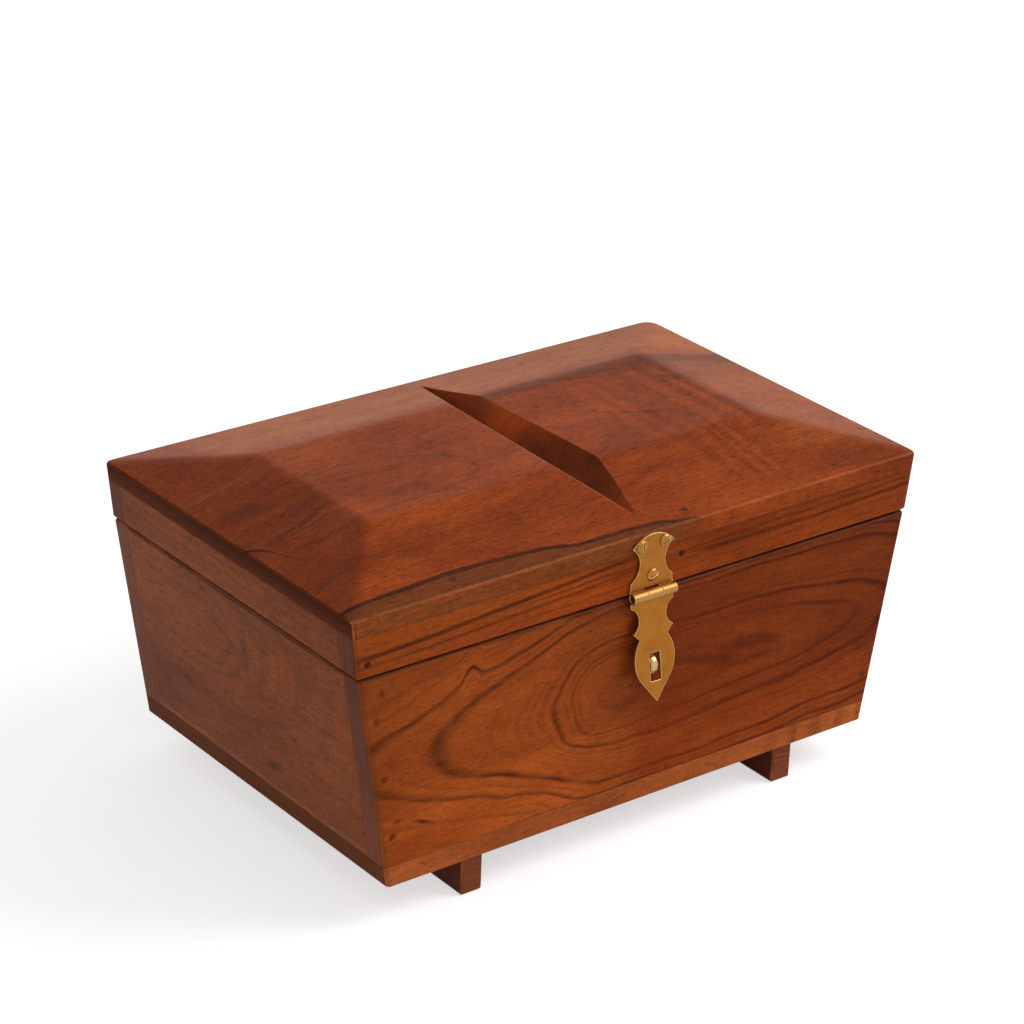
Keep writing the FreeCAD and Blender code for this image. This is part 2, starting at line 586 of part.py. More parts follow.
def box_nodes():
    """Every piece of the box by its name."""
    nodes = {}
    body, frame, lid = body_outside(), frame_outside(), lid_outside()

    wall_levels = [BODY_FLOOR + share * BODY_HEIGHT for share in WALL_PEG_SHARES]
    front_pegs = corner_pegs(body, FRONT, 1, body_half, BODY_LEAN, wall_levels)
    back_pegs = corner_pegs(body, BACK, -1, body_half, BODY_LEAN, wall_levels)
    floor_pegs, foot_pegs, crown_pegs = bottom_pegs(body), runner_pegs(), top_pegs(lid)
    rail_level = [LID_FOOT + RAIL_PEG_SHARE * RAIL_HEIGHT]
    rail_pegs = corner_pegs(frame, FRONT, 1, lid_half, LID_LEAN, rail_level)
    back_rail_pegs = corner_pegs(frame, BACK, -1, lid_half, LID_LEAN, rail_level)
    rail_pegs.solids += back_rail_pegs.solids
    rail_pegs.holes += back_rail_pegs.holes
    plug_level = LID_FOOT + PLUG_SHARE * RAIL_HEIGHT
    plug_x = HASP_PLACE + PLUG_OFFSET
    rail_pegs.add(V(plug_x, FRONT + PLUG_DEPTH, plug_level), V(plug_x, FRONT - OVERRUN, plug_level))

    loop, loop_holes = staple()
    hasp_screws = [hasp_screw(*shares, turn) for shares, turn in zip(HASP_SCREW_SHARES, HASP_SCREW_TURNS)]
    hasp_holes = [hole for _, hole in hasp_screws]

    beds = []
    body_screws, lid_screws = [], []
    for name, side in SIDES:
        x = side * HINGE_PLACE_SHARE * LID_LENGTH / 2
        beds += hinge_beds(x)
        places = [x + share * HINGE_LENGTH for share in HINGE_SCREW_SHARES]
        lower = [hinge_screw(place, -1) for place in places]
        upper = [hinge_screw(place, 1) for place in places]
        nodes[name + "_hinge_body_leaf"] = hinge_leaf(x, -1, (0, KNUCKLES - 1), [hole for _, hole in lower])
        nodes[name + "_hinge_lid_leaf"] = hinge_leaf(x, 1, (KNUCKLES // 2,), [hole for _, hole in upper])
        nodes[name + "_hinge_pin"] = hinge_rod(HINGE_PIN, x - HINGE_LENGTH / 2, x + HINGE_LENGTH / 2)
        body_screws += lower
        lid_screws += upper
    nodes["hinge_body_screws"] = Part.makeCompound([screw for screw, _ in body_screws])
    nodes["hinge_lid_screws"] = Part.makeCompound([screw for screw, _ in lid_screws])

    wall_holes = front_pegs.holes + back_pegs.holes + floor_pegs.holes
    nodes["front_board"] = drilled(long_board(body, FRONT, WALL_FOOT, RIM), wall_holes + loop_holes)
    back_holes = wall_holes + beds + [hole for _, hole in body_screws]
    nodes["back_board"] = drilled(long_board(body, BACK, WALL_FOOT, RIM), back_holes)
    nodes["bottom_board"] = drilled(layer(body, BODY_FLOOR, WALL_FOOT), floor_pegs.holes + foot_pegs.holes)
    lid_holes = crown_pegs.holes + rail_pegs.holes
    nodes["lid_front_rail"] = drilled(long_board(frame, FRONT, LID_FOOT, PANEL_FOOT), lid_holes + hasp_holes)
    lid_back_holes = lid_holes + beds + [hole for _, hole in lid_screws]
    nodes["lid_back_rail"] = drilled(long_board(frame, BACK, LID_FOOT, PANEL_FOOT), lid_back_holes)
    nodes["lid_top_panel"] = drilled(layer(lid, PANEL_FOOT, FIELD), crown_pegs.holes + hasp_holes)
    for name, side in SIDES:
        wall = end_board(body, side, body_half, BODY_LEAN, WALL_FOOT, RIM)
        nodes[name + "_end_board"] = drilled(wall, wall_holes)
        rail = end_board(frame, side, lid_half, LID_LEAN, LID_FOOT, PANEL_FOOT)
        nodes["lid_" + name + "_rail"] = drilled(rail, lid_holes)
        nodes[name + "_foot_runner"] = drilled(runner(side), foot_pegs.holes)

    nodes["front_wall_pegs"] = front_pegs.node()
    nodes["back_wall_pegs"] = back_pegs.node()
    nodes["bottom_pegs"] = floor_pegs.node()
    nodes["runner_pegs"] = foot_pegs.node()
    nodes["lid_top_pegs"] = crown_pegs.node()
    nodes["lid_rail_pegs"] = rail_pegs.node()

    nodes["hasp_plate"] = hasp_plate(hasp_holes)
    nodes["hasp_plate_screws"] = Part.makeCompound([screw for screw, _ in hasp_screws])
    pin_end = HASP_BARREL_LENGTH / 2 - HASP_PIN_RECESS
    nodes["hasp_pin"] = hasp_rod(HASP_PIN, -pin_end, pin_end)
    nodes["hasp_flap"] = hasp_flap()
    nodes["staple"] = loop
    return nodes


os.makedirs("parts", exist_ok=True)
for node_name, solid in box_nodes().items():
    solid.exportStep(os.path.join("parts", node_name + ".step"))
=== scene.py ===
import math
from functools import partial, reduce

import bpy
from mathutils import Matrix, Vector

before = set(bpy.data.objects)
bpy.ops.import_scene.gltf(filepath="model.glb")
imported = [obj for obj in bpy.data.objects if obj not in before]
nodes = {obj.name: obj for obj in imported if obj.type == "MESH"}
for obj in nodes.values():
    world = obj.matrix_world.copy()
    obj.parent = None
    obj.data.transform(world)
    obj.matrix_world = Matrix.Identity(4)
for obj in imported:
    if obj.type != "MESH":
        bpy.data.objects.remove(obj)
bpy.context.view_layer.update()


# Front board: one wide plank of reddish brown acacia, planed to 11 mm, its grain running along the box.
# It is butted over the ends of the two end boards, pegged to them, and varnished to a satin finish.

def linear(code):
    """A colour written as a six-digit sRGB code, as linear red, green, blue and alpha."""
    parts = [int(code[i:i + 2], 16) / 255 for i in (0, 2, 4)]
    return [p / 12.92 if p <= 0.04045 else ((p + 0.055) / 1.055) ** 2.4 for p in parts] + [1.0]


def put(tree, kind, *inputs, **settings):
    """Adds one node: its settings, then its inputs in their order, or by name from one dictionary.

    An input is a value, an output to link to, or another node, whose first output is then used.
    """
    made = tree.nodes.new("ShaderNode" + kind)
    for name, value in settings.items():
        setattr(made, name, value)
    if inputs and isinstance(inputs[0], dict):
        pairs = [(made.inputs[name], value) for name, value in inputs[0].items()]
    else:
        pairs = zip([socket for socket in made.inputs if socket.enabled], inputs)
    for socket, value in pairs:
        if isinstance(value, bpy.types.Node):
            value = next(output for output in value.outputs if output.enabled)
        if isinstance(value, bpy.types.NodeSocket):
            tree.links.new(value, socket)
        else:
            socket.default_value = value
    return made


def emptied(owner):
    """Clears the nodes of a material or a world, and gives the function that adds nodes to it."""
    owner.use_nodes = True
    owner.node_tree.nodes.clear()
    return partial(put, owner.node_tree)


def drawn(node, value, points):
    """A line drawn through the points given: at each place along value, the height that it has there."""
    places, heights = zip(*points)
    left, right, low, high = min(places), max(places), min(heights), max(heights)
    line = node("FloatCurve", 1.0, node("MapRange", value, left, right))
    curve = line.mapping.curves[0]
    while len(curve.points) < len(points):
        curve.points.new(0.5, 0.5)
    for mark, (place, height) in zip(curve.points, points):
        mark.location = ((place - left) / (right - left), (height - low) / (high - low))
    line.mapping.update()
    return node("MapRange", line, 0.0, 1.0, low, high)


def product(node, *amounts):
    """Several amounts multiplied together, for a mark that shows only where none of them is zero."""
    return reduce(partial(node, "Math", operation="MULTIPLY"), amounts)


MM_PER_METRE = 1000.0
COLOUR = {"data_type": "RGBA"}
SOFT = {"interpolation_type": "SMOOTHSTEP"}      # a change of tone with no hard start or stop
RAGGED = {"detail": 3.0, "roughness": 0.6}       # patches with a torn outline
NOISE_RANGE = (0.28, 0.72)                       # where nearly all of the noise lies
SEED_STEP = (137.0, 91.0, 53.0)                  # from one board's place in the tree to the next, in mm

# Sizes of the wood's figure, in millimetres along and across the grain. Real pores are finer than a pixel,
# so they are drawn half a millimetre wide.
LOOP_WAVE, LOOP_RIPPLE, LOOP_DRIFT = (80.0, 26.0), (24.0, 10.0), (50.0, 24.0)
TONE_PATCH, DEEP_PATCH, BAND_PATCH = (60.0, 20.0), (110.0, 30.0), (60.0, 14.0)
VEIN_PATCH, STREAK_PATCH = (26.0, 7.0), (24.0, 5.0)
FIBRE, MOTTLE, BLOTCH, PORE = (11.0, 0.7), (3.2, 1.1), (18.0, 9.0), (4.0, 0.55)
FIBRE_LIGHT, MOTTLE_LIGHT, BLOTCH_LIGHT, PORE_LIGHT = 0.11, 0.18, 0.07, -0.30
CURL_SHIFT, CURL_PATCH = (14.0, 24.0), (10.0, 26.0)
EDGE_PATCH, SHEEN_PATCH = (22.0, 8.0), (28.0, 12.0)
BANDS_PER_MM = 0.42            # faint yearly bands, by distance from the heart
RINGS_PER_MM = (0.06, 0.8)     # lines in the end grain, across the board and through it
KICK_RISE = 12.0               # over which a kick in the grain comes up to its full height
STREAK_TAPER = 14.0            # at most, at each end of a streak
ARRIS_ROUND = 0.0011           # metres, of the softened edges

# Colour of pale edges: rubbed by handling, and on the arrises also a painted highlight.
PALE_EDGE = "a8623a"
VARNISH_SHEEN = (0.30, 0.38)   # roughness, patch by patch


def hardwood(name, grain, tones, seed, heart, bow, veins=(), reach=60.0, veil=(), below=1.0, tilt=0.0,
             wander=2.5, kick=None, streaks=(), lean=(0.0, 0.0), figure=1.0, ripples=(), facing_light=(), depth=(),
             shade=(), fringe=(), groove=None, pale_edges=0.7, dry=0.0):
    """Varnished acacia for one board, drawn in the board's own millimetres.

    Satin varnish over open pores gives a soft, low sheen. Under it the eye sees rounded growth loops, a few
    nearly black veins, short dark pores, darker end grain, and pale edges, partly rubbed and partly a
    painted highlight.

    grain: the axes along the grain, across it and through the board.
    tones: colours of the pale, warm and deep wood, of the veins and of the end grain.
    seed: a number of the board's own, so that no two boards have the same figure.
    heart, bow: where across the board its growth layers centre, and how far out their tips lie along it.
    veins, reach: dark layers, as distance from the heart, width and strength, and a distance past them.
    veil: how strongly the veins show, along the board.
    below: what a millimetre counts for below the heart. tilt: the layers' slope. wander: how far they stray.
    kick: a jog in the layers, as its place along, its start across, its half width and its height.
    streaks: marks drawn as a line along and across, half width, softness, colour and strength, and
    for some the levels through the board at which they show and no longer show.
    lean: how far a streak moves across as it goes through the board, from a level.
    figure: the strength of fibres, mottle and pores. ripples: bars of curl, as brightness along, between two
    places across. runout: painted light and shade by how far a carved face turns along the grain.
    depth: brightness of the end grain through the board. shade, fringe: brightness along and across.
    groove: the carved V, as its middle, half width, floor level, and the painted light and shade of its dark
    wall across.
    rub: how pale the edges are, rubbed by handling and painted as a highlight. dry: how much duller the end
    grain is.
    """
    material = bpy.data.materials.new(name)
    node = emptied(material)
    pale, warm, deep, vein, ends = [linear(code) for code in tones]

    here = node("TexCoord")
    mm = node("VectorMath", here.outputs["Object"], MM_PER_METRE, operation="SCALE")
    axes = dict(zip("XYZ", node("SeparateXYZ", mm).outputs))
    along, across, through = [axes[letter] for letter in grain]
    flat = node("CombineXYZ", along, across, through)
    flat = node("VectorMath", flat, [seed * step for step in SEED_STEP], operation="ADD")

    def cloud(size, low=-1.0, high=1.0, detail=2.0, roughness=0.5):
        """Soft noise from low to high, in patches of about the size given along and across the grain."""
        length, width = size
        sized = node("VectorMath", flat, (1 / length, 1 / width, 1 / width), operation="MULTIPLY")
        return node("MapRange", node("TexNoise", sized, 1.0, detail, roughness), *NOISE_RANGE, low, high)

    # Growth layers: rounded loops about the heart, which wander a little as real ones do.
    wave = cloud(LOOP_WAVE, -wander, wander)
    shift = node("Math", wave, cloud(LOOP_RIPPLE, -0.25 * wander, 0.25 * wander), operation="ADD")
    side = node("Math", along, tilt, node("Math", across, shift, operation="ADD"), operation="MULTIPLY_ADD")
    place = node("Math", along, cloud(LOOP_DRIFT, -1.2 * wander, 1.2 * wander), operation="ADD")
    if kick:
        where, least, half, height = kick
        apart = node("Math", node("Math", along, where, operation="SUBTRACT"), operation="ABSOLUTE")
        jog = product(node, node("MapRange", apart, 0.0, half, height, 0.0, **SOFT),
                      node("MapRange", across, least, least + KICK_RISE, **SOFT))
        side = node("Math", side, jog, operation="SUBTRACT")
    off = node("Math", side, heart, operation="SUBTRACT")
    under = node("Math", off, 0.0, operation="LESS_THAN")
    off = product(node, off, node("Math", under, below - 1.0, 1.0, operation="MULTIPLY_ADD"))
    layer = node("VectorMath", node("CombineXYZ", off, drawn(node, place, bow), 0.0), operation="LENGTH")

    # Colour: slow changes of tone, faint yearly bands, the few dark veins, and the streaks.
    colour = node("Mix", cloud(TONE_PATCH, 0.0, 1.0, **RAGGED), pale, warm, **COLOUR)
    colour = node("Mix", cloud(DEEP_PATCH, -0.5, 0.6, **RAGGED), colour, deep, **COLOUR)
    year = node("Math", layer, BANDS_PER_MM, seed * 7.0, operation="MULTIPLY_ADD")
    bands = node("TexNoise", year, 1.0, 3.0, 0.65, noise_dimensions="1D")
    faint = product(node, node("MapRange", bands, 0.5, 0.72, **SOFT), cloud(BAND_PATCH, 0.0, 0.5))
    colour = node("Mix", faint, colour, deep, **COLOUR)
    if veins:
        marks = []
        for distance, width, strength in veins:
            marks += [(distance - width, 0.0), (distance, strength), (distance + width * 0.6, 0.0)]
        ramp = node("ValToRGB", node("Math", layer, reach, operation="DIVIDE"))
        spots = ramp.color_ramp.elements
        while len(spots) < len(marks):
            spots.new(1.0)
        for spot, (distance, strength) in zip(spots, marks):
            spot.position = distance / reach
            spot.color = (strength, strength, strength, 1.0)
        dark = product(node, ramp, cloud(VEIN_PATCH, 0.35, 1.1, **RAGGED))
        if veil:
            dark = product(node, dark, drawn(node, along, veil))
        colour = node("Mix", dark, colour, vein, **COLOUR)
    if streaks:
        slant, level = lean
        above = node("Math", through, level, operation="SUBTRACT")
        spot = node("Math", above, -slant, across, operation="MULTIPLY_ADD")
        spot = node("Math", shift, 0.25, spot, operation="MULTIPLY_ADD")
        patchy = cloud(STREAK_PATCH, 0.6, 1.1, **RAGGED)
    for line, half, soft, code, strength, *levels in streaks:
        apart = node("Math", spot, drawn(node, along, line), operation="SUBTRACT")
        apart = node("Math", apart, operation="ABSOLUTE")
        begins, stops = line[0][0], line[-1][0]
        taper = min(STREAK_TAPER, 0.5 * (stops - begins))
        amount = product(node, node("MapRange", apart, half, half + soft, strength, 0.0, **SOFT), patchy,
                         node("MapRange", along, begins, begins + taper, **SOFT),
                         node("MapRange", along, stops - taper, stops, 1.0, 0.0, **SOFT),
                         *[node("MapRange", through, full, none, 1.0, 0.0, **SOFT) for full, none in levels])
        colour = node("Mix", amount, colour, linear(code), **COLOUR)

    # Fibres, mottle, pores and curl, as changes of brightness.
    fibre = cloud(FIBRE, roughness=0.6)
    mottle = cloud(MOTTLE, detail=3.0, roughness=0.65)
    pores = node("MapRange", cloud(PORE, 0.0, 1.0, detail=1.0), 0.68, 1.0, **SOFT)
    light = 1.0
    for pattern, strength in ((fibre, FIBRE_LIGHT), (mottle, MOTTLE_LIGHT), (cloud(BLOTCH), BLOTCH_LIGHT),
                              (pores, PORE_LIGHT)):
        light = node("Math", pattern, figure * strength, light, operation="MULTIPLY_ADD")
    for bars, low, high in ripples:
        curl = drawn(node, node("Math", along, cloud(CURL_SHIFT, -1.6, 1.6), operation="ADD"), bars)
        near = product(node, node("MapRange", across, low - 9.0, low + 3.0, **SOFT),
                       node("MapRange", across, high - 3.0, high + 9.0, 1.0, 0.0, **SOFT),
                       cloud(CURL_PATCH, 0.4, 1.3))
        bar = node("Math", curl, 1.0, operation="SUBTRACT")
        light = node("Math", bar, near, light, operation="MULTIPLY_ADD")
    colour = node("VectorMath", colour, light, operation="SCALE")

    # End grain drinks the stain and goes darker. A carved face gets painted light or painted shade by how
    # far it turns along the grain.
    facing = dict(zip("XYZ", node("SeparateXYZ", here.outputs["Normal"]).outputs))[grain[0]]
    cut = node("MapRange", node("Math", facing, operation="ABSOLUTE"), 0.55, 0.9, **SOFT)
    ring_across, ring_through = RINGS_PER_MM
    ring = node("Math", across, ring_across, product(node, through, ring_through), operation="MULTIPLY_ADD")
    rings = node("TexNoise", ring, 1.0, 2.0, noise_dimensions="1D")
    fleck = node("Math", node("TexNoise", mm, 0.9, 2.0), 0.4, 0.3, operation="MULTIPLY_ADD")
    dark = node("Math", fleck, rings, operation="ADD")
    stained = node("VectorMath", ends[:3], dark, operation="SCALE")
    if depth:
        stained = node("VectorMath", stained, drawn(node, through, depth), operation="SCALE")
    if facing_light:
        colour = node("VectorMath", colour, drawn(node, facing, facing_light), operation="SCALE")
    colour = node("Mix", cut, colour, stained, **COLOUR)
    for value, points in ((along, shade), (across, fringe)):
        if points:
            colour = node("VectorMath", colour, drawn(node, value, points), operation="SCALE")

    # Edges: the narrow face planed along each arris, square to neither side, is paler, partly rubbed by
    # handling and partly a painted highlight.
    rounded = node("Bevel", {"Radius": ARRIS_ROUND}, samples=6)
    true_normal = node("NewGeometry").outputs["True Normal"]
    flush = node("VectorTransform", true_normal, vector_type="NORMAL", convert_from="WORLD",
                 convert_to="OBJECT")
    sides = node("SeparateXYZ", node("VectorMath", flush, operation="ABSOLUTE")).outputs
    square = reduce(partial(node, "Math", operation="MAXIMUM"), sides)
    rubbed_and_lit = product(node, node("MapRange", square, 0.72, 0.84, 1.0, 0.0, **SOFT), cloud(EDGE_PATCH, 0.1, pale_edges))
    if groove:
        middle, half, floor, wall = groove
        apart = node("Math", node("Math", along, middle, operation="SUBTRACT"), operation="ABSOLUTE")
        inside = node("MapRange", apart, half, half + 1.0, 1.0, 0.0, **SOFT)
        steep = product(node, inside, node("MapRange", facing, -0.46, -0.34, 1.0, 0.0, **SOFT))
        # The wall that faces left gets painted light behind and painted shade in front.
        wall_relit = node("VectorMath", colour, drawn(node, across, wall), operation="SCALE")
        colour = node("Mix", steep, colour, wall_relit, **COLOUR)
        # A painted highlight along the lip on the groove's left side, where the edge catches the light.
        turn = node("VectorMath", rounded, true_normal, operation="DOT_PRODUCT")
        lip = product(node, node("MapRange", turn, 0.955, 0.9985, 1.0, 0.0, **SOFT),
                      node("MapRange", through, floor + 0.8, floor + 2.0, 0.0, 0.9, **SOFT),
                      node("MapRange", along, middle - 4.0, middle, 1.0, 0.0, **SOFT))
        rubbed_and_lit = node("Mix", inside, rubbed_and_lit, lip)
    colour = node("Mix", rubbed_and_lit, colour, linear(PALE_EDGE), **COLOUR)

    # The varnish follows the fibres a little, sinks into the pores, and is thinner on end grain.
    height = node("Math", fibre, 0.25, product(node, pores, -0.6), operation="MULTIPLY_ADD")
    bump = node("Bump", {"Strength": 0.12, "Distance": 0.0003, "Height": height, "Normal": rounded})
    rough = node("Math", pores, 0.1, cloud(SHEEN_PATCH, *VARNISH_SHEEN, **RAGGED), operation="MULTIPLY_ADD")
    rough = node("Math", cut, dry, rough, operation="MULTIPLY_ADD")
    shader = node("BsdfPrincipled", {"Base Color": colour, "Roughness": rough, "IOR": 1.5,
                                     "Specular IOR Level": 0.03, "Normal": bump})
    node("OutputMaterial", {"Surface": shader})
    return material


def finish_with(material, *names):
    """Gives one finish to the pieces named."""
    for name in names:
        slots = nodes[name].data.materials
        slots.clear()
        slots.append(material)


FRONT_TONES = ("944617", "7d360e", "632808", "2e1207", "66341e")
FRONT_BOW = ((-160, 46), (-110, 39), (-80, 33.5), (-60, 29), (-47.5, 24), (-39, 18.5), (-30, 12), (-18, 5),
             (0, 1), (15, 1), (45, 7), (75, 10), (100, 14), (122.5, 17.5), (135, 21), (160, 29))
FRONT_VEINS = ((8, 1.8, 0.35), (18.0, 1.4, 0.6), (24, 1.7, 0.95), (27.4, 1.0, 0.35), (31, 0.8, 0.2),
               (39, 1.6, 0.95), (44.5, 1.4, 0.9), (51, 1.4, 0.4))
FRONT_STREAKS = (
    # Dark strokes inside the loops, behind the flap and to its right.
    (((2, 86), (17, 82), (44, 75), (58, 73)), 0.8, 3.0, "361608", 0.75),
    (((44, 80), (60, 79), (73, 76.5), (84, 71)), 1.2, 3.0, "301206", 0.8),
    (((38, 72), (60, 70), (80, 72)), 0.6, 2.0, "361608", 0.6),
    # Two short bark marks low on the left.
    (((-123, 47), (-118, 45.5), (-106, 41)), 0.6, 0.6, "2a130b", 1.0),
    (((-131, 49), (-125, 48)), 0.5, 0.8, "2a130b", 0.7),
    # Redder wood over the whole right half.
    (((-10, 75), (40, 76), (200, 75)), 60.0, 5.0, "6c2300", 0.6),
    # Two short dark ticks below the left end of the lid.
    (((-139.5, 111.5), (-137, 110.5), (-134.5, 108)), 1.0, 1.6, "3a170a", 0.6),
    (((-133.5, 113), (-130, 111)), 0.8, 1.4, "3a170a", 0.35),
    # A dark line painted along the rim as shade under the lid, on the outer face alone, and a dark line in
    # the joint with the bottom board.
    (((-190, 118.4), (190, 118.5)), 0.5, 0.7, "1c0a05", 0.85, (-88.6, -87.9)),
    (((-75, 28), (190, 28.1)), 0.2, 0.7, "2a130b", 0.4))
FRONT_VEIL = ((-160, 1), (10, 1.0), (60, 1.5), (160, 1.5))
FRONT_SHADE = ((-150, 0.8), (-120, 0.94), (-70, 1.06), (-25, 0.95), (25, 0.86), (90, 0.8), (118, 0.76),
               (148, 0.58))
FRONT_FRINGE = ((28, 1.27), (46, 1.24), (66, 1.02), (104, 0.98), (112, 0.9), (118.5, 0.86))
finish_with(hardwood("acacia_front", "XZY", FRONT_TONES, seed=1.0, heart=77.0, bow=FRONT_BOW,
                     veins=FRONT_VEINS, veil=FRONT_VEIL, below=0.9, kick=(-92.0, 92.0, 7.0, 5.0),
                     streaks=FRONT_STREAKS, shade=FRONT_SHADE, fringe=FRONT_FRINGE, pale_edges=0.15),
            "front_board")


# Back board: a plank of the same acacia as the front, butted over the end boards and pegged in the same way,
# and let in along its top edge for the hinges. Its grain is plainer, so it gives an even, quiet brown.

PLAIN_TONES = ("94451b", "7e3713", "63290e", "34170c", "6e3824")
PLAIN_BOW = ((-150, 60), (-20, 25), (40, 20), (150, 52))
PLAIN_VEINS = ((26, 1.5, 0.5), (38, 1.2, 0.6), (47, 1.5, 0.5), (61, 2.0, 0.5))
finish_with(hardwood("acacia_back", "XZY", PLAIN_TONES, seed=2.0, heart=50.0, bow=PLAIN_BOW,
                     veins=PLAIN_VEINS, reach=90.0),
            "back_board")


# End boards: two planks of acacia that lean out to the rim between the front and the back, which are pegged
# to them. Their wood is a greyer brown, with a soft wide figure and a small knot, and looks duller.

END_TONES = ("85431b", "783915", "612c11", "3c1d10", "5a3020")
END_BOW = ((-90, 60), (-10, 28), (10, 16), (45, 2), (95, 20))
END_VEINS = ((15, 3.0, 0.28), (21, 2.5, 0.34), (31, 3.0, 0.28), (44, 3.0, 0.25))
END_STREAKS = (
    # A small knot low in the middle, a broad dark cloud above it and a thin line at the front.
    (((-20, 42), (-12, 41), (-2, 38)), 1.0, 2.0, "3e1f15", 0.7),
    (((-6, 120), (-3, 100), (5, 78)), 8.0, 12.0, "4a2415", 0.4),
    (((-74, 83), (-60, 80.5), (-46, 79)), 0.4, 1.5, "3e1f15", 0.5),
    # The lower edge rubbed pale, and a dark line painted along the rim as shade under the lid, on the left
    # board's outer face alone.
    (((-84, 30.2), (88, 30.3)), 0.4, 1.0, PALE_EDGE, 0.4),
    (((-100, 118.2), (100, 118.3)), 0.6, 0.9, "1e0b05", 0.8, (-147.4, -146.4)))
END_FRINGE = ((28, 0.9), (60, 0.94), (85, 1.0), (118, 1.03))
finish_with(hardwood("acacia_end", "YZX", END_TONES, seed=3.0, heart=94.0, bow=END_BOW, veins=END_VEINS,
                     reach=90.0, wander=5.0, streaks=END_STREAKS, figure=1.5, fringe=END_FRINGE),
            "left_end_board", "right_end_board")


# Bottom board: a thinner plank of acacia under the four walls, pegged up into them, its edges showing all
# round. Its front edge is paler, with ribbon grain at the right end that gives light and dark bars.

BOTTOM_TONES = ("a65629", "92491f", "783a17", "46240f", "5c2c10")
BOTTOM_BOW = ((-150, 70), (0, 40), (150, 66))
BOTTOM_VEINS = ((50, 1.5, 0.5), (66, 1.5, 0.5))
RIBBON = ((20, 1), (60, 1), (70, 1.1), (77, 0.9), (84, 1.12), (91, 0.8), (94, 1.12), (99, 1.16), (104, 0.82),
          (108, 1.14), (113, 1.16), (118, 0.8), (121, 1.1), (127, 1.15), (131, 0.8), (140, 0.85))
finish_with(hardwood("acacia_bottom", "XYZ", BOTTOM_TONES, seed=4.0, heart=30.0, bow=BOTTOM_BOW,
                     veins=BOTTOM_VEINS, reach=160.0, ripples=((RIBBON, -100, 100),), dry=0.15),
            "bottom_board")


# Foot runners: two sticks of acacia on edge across the underside, offcuts pegged up into the bottom
# board. Their long sides are painted dark, as painted shade under the box, and their sawn ends in front show
# paler.

RUNNER_SHADED_TONES = ("5f2512", "4f1f0d", "3b1609", "260f06", "703922")
RUNNER_BOW = ((-100, 40), (100, 60))
finish_with(hardwood("acacia_runner", "YXZ", RUNNER_SHADED_TONES, seed=5.0, heart=40.0, bow=RUNNER_BOW,
                     veins=((150, 2.0, 0.4),), reach=250.0),
            "left_foot_runner", "right_foot_runner")


# Pegs: hardwood dowels driven through the boards, cut flush and varnished over with them. Each shows its end
# grain as a small dot, dark in the rails and nearly matched to the board in the walls and the top.

PALE_DOWEL = ("7a3a18", "6a3012", "54240d", "34180b", "74340f")
DARK_DOWEL = ("4a2817", "3c1e11", "2e160d", "1e0e09", "401707")
BROWN_DOWEL = ("5c2c14", "4e2410", "3a1a0b", "241008", "50260f")
DOWEL = {"heart": 0.0, "bow": ((-100, 30), (100, 40)), "pale_edges": 0.1}
finish_with(hardwood("matched_dowel", "YXZ", PALE_DOWEL, seed=6.0, **DOWEL,
                     fringe=((-160, 0.76), (0, 0.8), (160, 0.5))),
            "front_wall_pegs", "back_wall_pegs", "bottom_pegs", "runner_pegs")
finish_with(hardwood("dark_dowel", "YXZ", DARK_DOWEL, seed=6.5, **DOWEL,
                     fringe=((-160, 0.95), (60, 1.0), (120, 2.6), (160, 3.0))),
            "lid_rail_pegs")
# The top pegs are painted paler towards the back and the right: painted light, as on the slopes around them.
finish_with(hardwood("brown_dowel", "ZXY", BROWN_DOWEL, seed=6.8, **DOWEL,
                     depth=((-95, 1), (20, 1.1), (55, 1.8), (80, 2.4)),
                     fringe=((-160, 1), (60, 1.02), (120, 1.5), (150, 2))),
            "lid_top_pegs")


# Staple: brass wire, flattened and bent to a loop, its two legs driven into the front board. The flap's slot
# drops over it and has rubbed it bright, so it glints.

BRUSH_LENGTH, BRUSH_WIDTH = 9.0, 0.35      # mm, of a brush line, drawn coarser than it is so that it shows
TARNISH_PER_MM = 0.16                      # cloudy spots of tarnish, about 6 mm apart
METAL_SEED_STEP = (31.0, 17.0, 43.0)
METAL_ROUND = 0.0005                       # metres, of the filed edges
HOLLOW_DEPTH = 0.0011                      # metres, of the corners that hold dirt
PIN_LEVEL, KNUCKLE = 119.0, (1.6, 2.8)     # mm, the hasp pin's height, and the knuckles' reach from it
METAL_DIRT = "3a1d0c"
BRUSH_GRIT = 0.06


